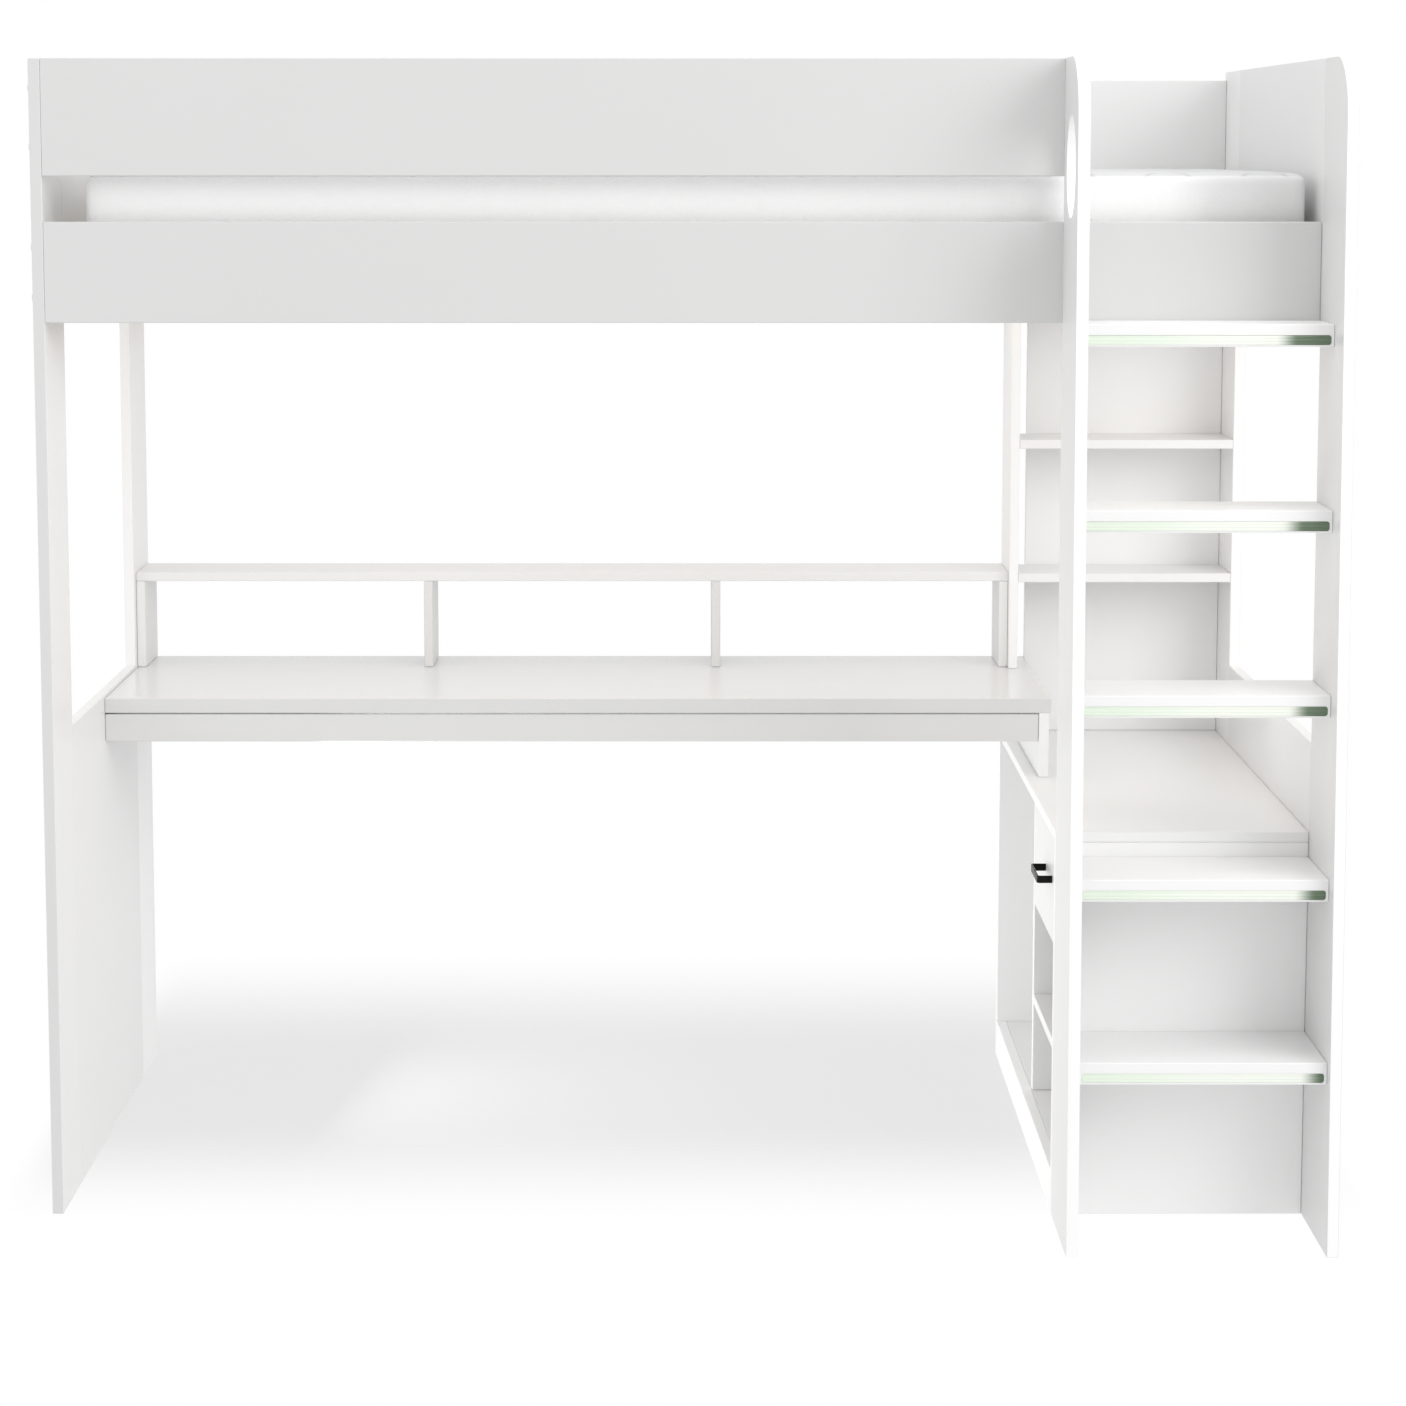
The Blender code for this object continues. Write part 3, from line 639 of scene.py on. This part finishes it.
def fill(piece):
    """Blows the block up as a stuffed cover, and limits how far a point may move."""
    piece.data.remesh_voxel_size = VOXEL
    take(piece)
    bpy.ops.object.voxel_remesh()
    start = [vertex.co.copy() for vertex in piece.data.vertices]
    held = piece.vertex_groups.new(name="stitches")
    for vertex in piece.data.vertices:
        held.add([vertex.index], stitch_share(vertex.co), "REPLACE")
    cloth = piece.modifiers.new("filling", "CLOTH")
    cloth.settings.use_pressure = True
    cloth.settings.uniform_pressure_force = AIR_PRESSURE
    cloth.settings.quality = 5
    cloth.settings.vertex_group_mass = "stitches"
    cloth.settings.effector_weights.gravity = 0.0
    cloth.point_cache.frame_start = 1
    cloth.point_cache.frame_end = FILLING_FRAMES
    for step in range(1, FILLING_FRAMES + 1):
        bpy.context.scene.frame_set(step)
    take(piece)
    bpy.ops.object.modifier_apply(modifier=cloth.name)
    bpy.context.scene.frame_set(1)
    for vertex, origin in zip(piece.data.vertices, start):
        move = vertex.co - origin
        if move.length > MOST_SWELL:
            vertex.co = origin + move * (MOST_SWELL / move.length)


# %% [markdown]
# ## The finished mattress
#
# The filled cover gets one level of subdivision, which melts the voxel steps away.

# %% The finished mattress
cover = mattress_block()
fill(cover)
settle(cover, "SUBSURF", levels=1, render_levels=1)
smooth(cover, 60)
fit(cover, "root", "mattress_ticking", COVER, "mattress")
swollen = [max(v.co[i] for v in cover.data.vertices) for i in range(3)]
print("mattress reaches", [round(v, 3) for v in swollen])

# %% [markdown]
# ## Glowing strips in the steps
#
# Each step has a strip of pale green plastic let into its front edge, which glows in the dark. It
# is a pressed-in moulding with round ends and two fine grooves along its face. One strip is shaped
# from a block and copied to the other steps. Where a strip runs into the shade beside the right
# upright, that shade is painted into its colour as a deep green end, longer on the higher steps.

# %% Glow plastic
STEPS = 5
STRIP_LOW, STRIP_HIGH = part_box("step_strip_1")


def glow_plastic(name, shaded_end):
    """Milky pale green plastic, with painted shade that turns its colour deep green over a length
    at the right end.
    """
    finish = Finish(name)
    from_left = finish.along(finish.place(), "X")
    start = STRIP_HIGH.x - shaded_end - 0.022
    painted_shade = from_left.rise(start, start + 0.034)
    milk = from_left.rise(STRIP_LOW.x + 0.05, STRIP_LOW.x + 0.22)
    clouds = finish.noise(14.0, 3.0)
    colour = finish.blend(milk, (0.82, 0.91, 0.79, 1), (0.89, 0.92, 0.85, 1))
    colour = finish.blend(clouds * 0.25, colour, (0.90, 0.95, 0.86, 1))
    # Painted shade: the colour turns deep green over the shaded length at the right end.
    colour = finish.blend(painted_shade, colour, (0.135, 0.200, 0.125, 1))
    grain = finish.noise(700.0, 2.0)
    finish.shades(Base_Color=colour, Roughness=clouds * 0.12 + 0.30)
    finish.shades(Coat_Weight=0.3, Coat_Roughness=0.12)
    finish.relief(grain, 0.00006)
    return finish.material


print("strip runs", round(STRIP_HIGH.x - STRIP_LOW.x, 3), "m along the step")

# %% [markdown]
# ## Shaping the strip
#
# The block is cut across at four levels, and the two narrow bands between the cuts are
# pressed in as grooves. Rounding the four corners that run into the step comes after the
# cuts, because a bevel is easiest to select while the block is still square at its ends.

# %% Glow strips
def glow_strip():
    """One strip: a block with round ends and two grooves along its face."""
    piece = block("glow_strip_1", STRIP_LOW, STRIP_HIGH)
    tall = STRIP_HIGH.z - STRIP_LOW.z
    for share in (0.26, 0.36, 0.64, 0.74):
        pick(piece, "FACE", lambda face: True)
        level = STRIP_LOW.z + share * tall
        bpy.ops.mesh.bisect(plane_co=(0, 0, level), plane_no=(0, 0, 1))

    def is_groove(face):
        """True on the two narrow bands of the front face."""
        share = (face.calc_center_median().z - STRIP_LOW.z) / tall
        return face.normal.y < -0.9 and (0.26 < share < 0.36 or 0.64 < share < 0.74)

    pick(piece, "FACE", is_groove)
    move = {"value": (0, 0.0006, 0)}
    bpy.ops.mesh.extrude_region_move(TRANSFORM_OT_translate=move)

    def is_corner(edge):
        """True on the four corners that run into the step."""
        middle = edge_middle(edge)
        ends = min(abs(middle.x - STRIP_LOW.x), abs(middle.x - STRIP_HIGH.x)) < 1e-5
        levels = min(abs(middle.z - STRIP_LOW.z), abs(middle.z - STRIP_HIGH.z)) < 1e-5
        return ends and levels and edge_along(edge).y > 0.9

    pick(piece, "EDGE", is_corner)
    bpy.ops.mesh.bevel(offset=0.0042, segments=6, affect="EDGES")
    put_down()
    settle(piece, "BEVEL", width=0.0004, segments=2, limit_method="ANGLE",
           angle_limit=math.radians(40))
    smooth(piece)
    return piece


first_strip = glow_strip()
for number in range(1, STEPS + 1):
    low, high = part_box(f"step_strip_{number}")
    if number == 1:
        strip = first_strip
    else:
        strip = copy_to(first_strip, f"glow_strip_{number}", low - STRIP_LOW)
    # The painted shade at the right end is longer on each higher step.
    finish = glow_plastic(f"glow_plastic_{number}", 0.004 + 0.0115 * number)
    fit(strip, "root", "green_strip", finish, f"step_strip_{number}")

# %% [markdown]
# ## Metals, bare wood and hardboard
#
# Four more finishes are needed. The handle has a smooth black powder coat with a very fine
# peel. The slides are zinc plated, with a faint bloom in the plating. Slats and bearers
# are planed spruce with grain along their length, and the drawer bottom is hardboard with
# a thin white paint.

# %% Powder coat and zinc
def powder_coat():
    """Black powder coat: a very fine peel, and grey where hands rub the edges."""
    finish = Finish("black_powder_coat")
    peel = finish.noise(1600.0, 2.0)
    rub = finish.noise(60.0, 4.0)
    colour = finish.blend(rub.rise(0.45, 0.8), grey(0.003), grey(0.009))
    finish.shades(Base_Color=colour, Roughness=rub * 0.15 + 0.22)
    finish.shades(IOR=1.22)
    finish.relief(peel, 0.00005)
    return finish.material


def zinc():
    """Plated sheet steel with rolling marks along X."""
    finish = Finish("zinc_plate")
    bloom = finish.noise(18.0, 4.0)
    rolled = finish.noise(900.0, 2.0, (0.02, 1.0, 1.0))
    colour = finish.blend(bloom, (0.56, 0.57, 0.58, 1), (0.68, 0.68, 0.66, 1))
    finish.shades(Base_Color=colour, Metallic=1.0, Roughness=rolled * 0.16 + 0.26)
    finish.relief(rolled, 0.00003)
    return finish.material


BLACK = powder_coat()
ZINC = zinc()
print("metal finishes:", BLACK.name, ZINC.name)

# %% [markdown]
# ## Wood
#
# Noise that is stretched along the grain gives the fibres. A sine of a slower stretched
# noise gives the late-wood lines, which wander as they do on a flat-sawn board. The slats
# lie across the bed, so they need the same wood with its grain turned.

# %% Spruce and hardboard
def spruce(name, grain):
    """Planed spruce with its grain along one axis."""
    finish = Finish(name)
    long_way = {"X": (0.06, 1.0, 1.0), "Y": (1.0, 0.06, 1.0)}[grain]
    rings = finish.noise(55.0, 3.0, long_way)
    fibre = finish.noise(700.0, 2.0, long_way)
    board = finish.noise(4.0, 1.0)
    late = (rings * 9.0).maths("SINE").rise(0.1, 1.0)
    colour = finish.blend(board, (0.79, 0.66, 0.49, 1), (0.84, 0.71, 0.54, 1))
    colour = finish.blend(late * 0.5, colour, (0.62, 0.43, 0.26, 1))
    colour = finish.blend(fibre * 0.2, colour, (0.88, 0.74, 0.55, 1))
    finish.shades(Base_Color=colour, Roughness=fibre * 0.15 + 0.55)
    finish.relief(fibre * 0.5 + late * 0.5, 0.0002)
    return finish.material


def hardboard():
    """White painted hardboard, a little blotchy, with a fine pressed texture."""
    finish = Finish("painted_hardboard")
    blotch = finish.noise(9.0, 4.0)
    press = finish.noise(420.0, 3.0)
    colour = finish.blend(blotch, grey(0.74, 0.01), grey(0.82, 0.006))
    finish.shades(Base_Color=colour, Roughness=blotch * 0.1 + 0.5)
    finish.relief(press, 0.0002)
    return finish.material


SPRUCE_ALONG_BED = spruce("spruce_along_bed", "X")
SPRUCE_ACROSS_BED = spruce("spruce_across_bed", "Y")
HARDBOARD = hardboard()
for name, slot in SLOT_OF.items():
    if slot == "spruce":
        paint_node(name, SPRUCE_ALONG_BED)
    if slot == "hardboard":
        paint_node(name, HARDBOARD)
    if slot == "slide_steel":
        paint_node(name, ZINC)
print("wood and metal nodes painted")

# %% [markdown]
# ## The drawer handle
#
# The handle is one flat bar, bent twice. It could be a curve with a thickness, but a bent
# bar keeps its width through the bend, so it is made as it is bent: a short foot is
# extruded, spun round a corner, extruded along, spun again and run back to the drawer.

# %% The drawer handle
GRIP_LOW, GRIP_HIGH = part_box("drawer_handle")
BAR = 0.003
BEND = 0.005


def bend(piece, facing, centre, turn):
    """Spins the end face of the bar round an upright axis through a centre."""
    pick(piece, "FACE", facing)
    bpy.ops.mesh.spin(steps=8, angle=math.radians(turn), center=centre, axis=(0, 0, 1))


def pull(piece, facing, move):
    """Pulls the end face of the bar along."""
    pick(piece, "FACE", facing)
    bpy.ops.mesh.extrude_region_move(TRANSFORM_OT_translate={"value": move})


def bow_handle():
    """The bent bar, from the front foot to the rear foot."""
    out = GRIP_LOW.x + BEND
    near, far = GRIP_LOW.y, GRIP_HIGH.y
    piece = block("bow_handle", (out, near, GRIP_LOW.z), (GRIP_HIGH.x, near + BAR, GRIP_HIGH.z))
    level = (GRIP_LOW.z + GRIP_HIGH.z) / 2

    def end_at(place, normal):
        """A test for the end face at a place that looks one way."""
        place, normal = Vector(place), Vector(normal)

        def test(face):
            """True on that end face only."""
            off = (face.calc_center_median() - place).length
            return off < 1e-4 and face.normal.dot(normal) > 0.99

        return test

    first = end_at((out, near + BAR / 2, level), (-1, 0, 0))
    bend(piece, first, (out, near + BEND, level), 90)
    second = end_at((GRIP_LOW.x + BAR / 2, near + BEND, level), (0, 1, 0))
    pull(piece, second, (0, far - near - 2 * BEND, 0))
    third = end_at((GRIP_LOW.x + BAR / 2, far - BEND, level), (0, 1, 0))
    bend(piece, third, (out, far - BEND, level), 90)
    fourth = end_at((out, far - BAR / 2, level), (1, 0, 0))
    pull(piece, fourth, (GRIP_HIGH.x - out, 0, 0))
    bpy.ops.mesh.select_all(action="SELECT")
    bpy.ops.mesh.remove_doubles(threshold=0.00001)
    bpy.ops.mesh.normals_make_consistent(inside=False)
    put_down()
    settle(piece, "BEVEL", width=0.0005, segments=3, limit_method="ANGLE",
           angle_limit=math.radians(40))
    smooth(piece)
    return piece


handle = bow_handle()
low = [round(min(v.co[i] for v in handle.data.vertices), 4) for i in range(3)]
high = [round(max(v.co[i] for v in handle.data.vertices), 4) for i in range(3)]
print("bow handle", low, high, "measured", [round(v, 4) for v in (*GRIP_LOW, *GRIP_HIGH)])
fit(handle, "drawer", "black_handle", BLACK, "drawer_handle")

# %% [markdown]
# ## The slats
#
# The mattress lies on spruce slats that come as a roll, held at their pitch by two webbing
# tapes stapled underneath. The measured model has them as one piece with square edges.
# Here one slat with rounded edges is shaped and copied, and the pitch is read from the
# measured roll, so that the slats stay where they were.

# %% The slats
ROLL_LOW, ROLL_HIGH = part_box("slat_roll")
roll_points = [vertex.co for vertex in NODES["slat_roll"].data.vertices]
slat_sides = sorted({round(p.x, 4) for p in roll_points if ROLL_HIGH.z - p.z < 1e-4})
slat_starts = slat_sides[0::2]
slat_ends = slat_sides[1::2]
slat_under = min(p.z for p in roll_points if p.x < ROLL_LOW.x + 1e-4)

slat = block("slat_1", (slat_starts[0], ROLL_LOW.y, slat_under),
             (slat_ends[0], ROLL_HIGH.y, ROLL_HIGH.z))
pick(slat, "EDGE", lambda edge: edge_along(edge).y > 0.9)
bpy.ops.mesh.bevel(offset=0.0030, segments=4, affect="EDGES")
put_down()
settle(slat, "BEVEL", width=0.0006, segments=1, limit_method="ANGLE",
       angle_limit=math.radians(60))
smooth(slat)
slats = [slat]
for number, start in enumerate(slat_starts[1:], 2):
    slats.append(copy_to(slat, f"slat_{number}", (start - slat_starts[0], 0, 0)))
for slat in slats:
    fit(slat, "root", "spruce", SPRUCE_ACROSS_BED)
print(len(slats), "slats at a pitch of", round(slat_starts[1] - slat_starts[0], 4), "m")

# %% [markdown]
# ## Webbing and staples
#
# Each tape is flat woven webbing. It passes under every slat and is held there by two
# staples, which are bent wire with a flat crown. One staple is shaped from a thin block by
# pulling its two legs up into the wood, and the copies are joined along each tape.

# %% Webbing and staples
TAPE_WIDTH = 0.025
TAPE_FROM_END = 0.120
TAPE_THICK = 0.0015
STAPLE_CROWN = 0.011
WIRE = 0.0009


def webbing(name="tape_weave"):
    """Off-white woven tape with ribs across it."""
    finish = Finish(name)
    along = finish.along(finish.place(), "X") * 2600.0
    ribs = along.maths("SINE") * 0.5 + 0.5
    soil = finish.noise(12.0, 3.0)
    colour = finish.blend(ribs * 0.4, (0.74, 0.72, 0.66, 1), (0.50, 0.48, 0.43, 1))
    finish.shades(Base_Color=finish.blend(soil * 0.3, colour, (0.62, 0.59, 0.52, 1)))
    finish.shades(Roughness=soil * 0.1 + 0.8)
    finish.relief(ribs, 0.0003)
    return finish.material


def staple(middle):
    """One staple with its crown across the slat and its legs in the wood."""
    x, y, z = middle
    half = STAPLE_CROWN / 2
    piece = block("staple", (x - half, y - WIRE / 2, z - WIRE), (x + half, y + WIRE / 2, z))
    for side in (-1, 1):
        pick(piece, "FACE", lambda face: True)
        bpy.ops.mesh.bisect(plane_co=(x + side * (half - WIRE), 0, 0), plane_no=(1, 0, 0))

    def is_leg(face):
        """True on the two small end patches of the upper side."""
        off = abs(face.calc_center_median().x - x)
        return face.normal.z > 0.9 and off > half - WIRE

    pick(piece, "FACE", is_leg)
    move = {"value": (0, 0, TAPE_THICK + 0.004)}
    bpy.ops.mesh.extrude_region_move(TRANSFORM_OT_translate=move)
    put_down()
    return piece


TAPE_FINISH = webbing()
edges = {"front": ROLL_LOW.y + TAPE_FROM_END, "rear": ROLL_HIGH.y - TAPE_FROM_END - TAPE_WIDTH}
for side, edge in edges.items():
    low = (ROLL_LOW.x + 0.017, edge, slat_under - TAPE_THICK)
    high = (ROLL_HIGH.x - 0.017, edge + TAPE_WIDTH, slat_under)
    tape = block(f"slat_tape_{side}", low, high)
    pick(tape, "EDGE", lambda edge: edge_along(edge).x > 0.9)
    bpy.ops.mesh.bevel(offset=0.0005, segments=2, affect="EDGES")
    put_down()
    smooth(tape)
    fit(tape, "root", "mattress_ticking", TAPE_FINISH)
    first_middle = (slat_starts[0] + slat_ends[0]) / 2
    level = slat_under - TAPE_THICK
    start = staple((first_middle, edge + TAPE_WIDTH * 0.3, level))
    staples = [start]
    for place in slat_starts:
        for across in (0, TAPE_WIDTH * 0.4):
            shift = (place - slat_starts[0], across, 0)
            if any(shift):
                staples.append(copy_to(start, "staple", shift))
    staples = join(f"slat_staples_{side}", staples)
    fit(staples, "root", "slide_steel", ZINC)
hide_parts("slat_roll")

# %% [markdown]
# ## Cover caps
#
# The ends are held to the rails, guards, desk and cabinet by bolts, whose heads are covered
# with small white plastic caps on the outside. A cap is a low disc with a rounded rim and
# a slightly sunk middle. One cap is shaped for each end and copied to the bolts' places.

# %% Cover caps
CAP_RADIUS = 0.0065
CAP_HIGH = 0.0016


def cap_plastic():
    """White moulded plastic, a little yellower than the boards."""
    finish = Finish("cap_plastic")
    tint = finish.noise(30.0, 2.0)
    grain = finish.noise(1500.0, 1.0)
    finish.shades(Base_Color=finish.blend(tint, grey(0.80, 0.008), grey(0.84, 0.004)))
    finish.shades(Roughness=tint * 0.08 + 0.36)
    finish.relief(grain, 0.00004)
    return finish.material


def cover_cap(outer_x, side):
    """A cap on a face that looks along X, at the middle of the end."""
    middle = Vector((outer_x + side * CAP_HIGH / 2, 0, 0))
    piece = rod("cover_cap", middle, CAP_RADIUS, CAP_HIGH, axis="X")
    outer = outer_x + side * CAP_HIGH
    pick(piece, "FACE", lambda face: abs(face.calc_center_median().x - outer) < 1e-5)
    bpy.ops.mesh.inset(thickness=0.0012)
    bpy.ops.transform.resize(value=(1, 0.98, 0.98))
    bpy.ops.mesh.inset(thickness=0.0014)
    bpy.ops.transform.translate(value=(side * -0.0005, 0, 0))
    put_down()
    settle(piece, "BEVEL", width=0.0004, segments=2, limit_method="ANGLE",
           angle_limit=math.radians(30))
    smooth(piece)
    return piece


def bolt_places(side):
    """Y and Z of each bolt in one end: two to a rail, guard, desk and cabinet board."""
    places = []
    for name in ("front_rail", "rear_rail", "front_guard", "rear_guard"):
        low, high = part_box(name)
        if side > 0 and name == "front_guard":
            continue
        middle = (low.y + high.y) / 2
        for share in (0.25, 0.75):
            places.append((middle, low.z + share * (high.z - low.z)))
    name = "desk_top" if side < 0 else "cabinet_top"
    low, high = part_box(name)
    for share in (0.12, 0.88):
        places.append((low.y + share * (high.y - low.y), (low.z + high.z) / 2))
    return places


CAP_FINISH = cap_plastic()
for side, end in ((-1, CAD_LOW.x), (1, CAD_HIGH.x)):
    pattern = cover_cap(end, side)
    for number, (y, z) in enumerate(bolt_places(side), 1):
        label = "left" if side < 0 else "right"
        cap = copy_to(pattern, f"cover_cap_{label}_{number}", (0, y, z))
        fit(cap, "root", "white_melamine", CAP_FINISH)
    bpy.data.objects.remove(pattern)

# %% [markdown]
# ## Handle screws
#
# The drawer handle is held by two round-headed screws with a socket, which sit on the
# inner side of the drawer front and travel with the drawer. The socket is a face that is
# inset and pushed in.

# %% Handle screws
SCREW_RADIUS = 0.0045
SCREW_HIGH = 0.0024
SOCKET_DEEP = 0.0012


def handle_screw(name, y):
    """A round head with a socket on the inner side of the drawer front."""
    inner_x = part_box("drawer_front")[1].x
    level = (GRIP_LOW.z + GRIP_HIGH.z) / 2
    piece = rod(name, Vector((inner_x + SCREW_HIGH / 2, y, level)), SCREW_RADIUS, SCREW_HIGH,
                axis="X")
    outer = inner_x + SCREW_HIGH
    pick(piece, "FACE", lambda face: abs(face.calc_center_median().x - outer) < 1e-5)
    bpy.ops.mesh.inset(thickness=SCREW_RADIUS * 0.55)
    move = {"value": (-SOCKET_DEEP, 0, 0)}
    bpy.ops.mesh.extrude_region_move(TRANSFORM_OT_translate=move)
    put_down()
    settle(piece, "BEVEL", width=0.0004, segments=2, limit_method="ANGLE",
           angle_limit=math.radians(30))
    smooth(piece)
    return piece


for label, y in (("front", GRIP_LOW.y + BAR / 2), ("rear", GRIP_HIGH.y - BAR / 2)):
    fit(handle_screw(f"handle_screw_{label}", y), "drawer", "slide_steel", ZINC)
